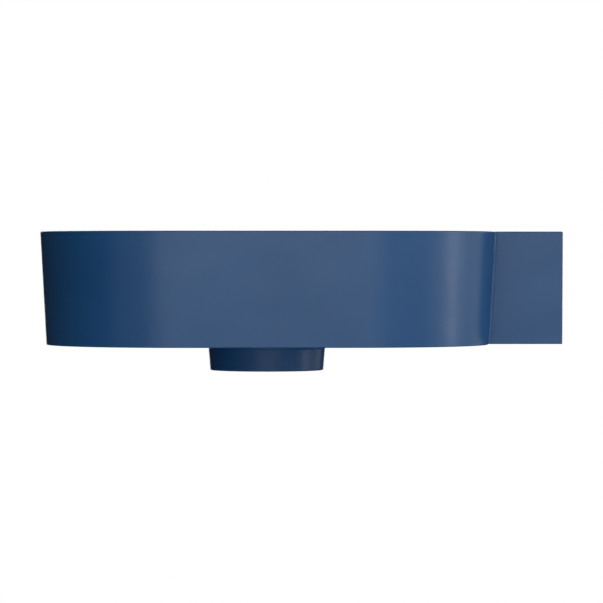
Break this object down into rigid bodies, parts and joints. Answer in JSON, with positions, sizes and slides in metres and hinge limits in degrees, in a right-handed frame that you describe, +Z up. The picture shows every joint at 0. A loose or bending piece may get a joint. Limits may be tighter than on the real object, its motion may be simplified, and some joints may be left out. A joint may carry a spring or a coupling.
{
  "type": "washbasin",
  "caption": "Wall-hung washbasin with a rounded-rectangle bowl, a tap ledge block to the wall, a waste boss below and a push-open plug.",
  "frame": {"origin": "centre of the back face that meets the wall, midway between the two fixing holes", "axes": "+Z up, +Y out of the back face into the wall, so the basin projects to -Y; +X to the right of someone facing the basin"},
  "size_m": [0.6, 0.47, 0.1303],
  "materials": {
    "blue_glaze": "satin",
    "chrome": "polished",
    "brass": "satin",
    "steel": "satin",
    "black_rubber": "matte",
    "grey_plastic": "matte",
    "white_plastic": "matte"
  },
  "bodies": {
    "basin": {"basin_body": "blue_glaze", "overflow_ring": "chrome", "waste_body": "chrome", "waste_back_nut": "brass", "cartridge_spring": "steel", "waste_flange_seal": "black_rubber", "waste_lower_gasket": "black_rubber", "waste_slip_washer": "grey_plastic", "cartridge_housing": "white_plastic", "fixing_sleeve_left": "white_plastic", "fixing_sleeve_right": "white_plastic"},
    "plug": {"plug_cap": "blue_glaze", "plug_carrier": "chrome", "plug_seal": "black_rubber", "plug_lock_nut": "brass", "cartridge_plunger": "steel", "cartridge_latch_ring": "grey_plastic"}
  },
  "joints": [
    {"name": "plug_slide", "type": "slide", "parent": "basin", "child": "plug", "axis": [0, 0, 1], "range_m": [-0.008, 0], "stiffness_N_per_m": 500, "springref_m": 0.006, "deforming": ["cartridge_spring"]}
  ]
}
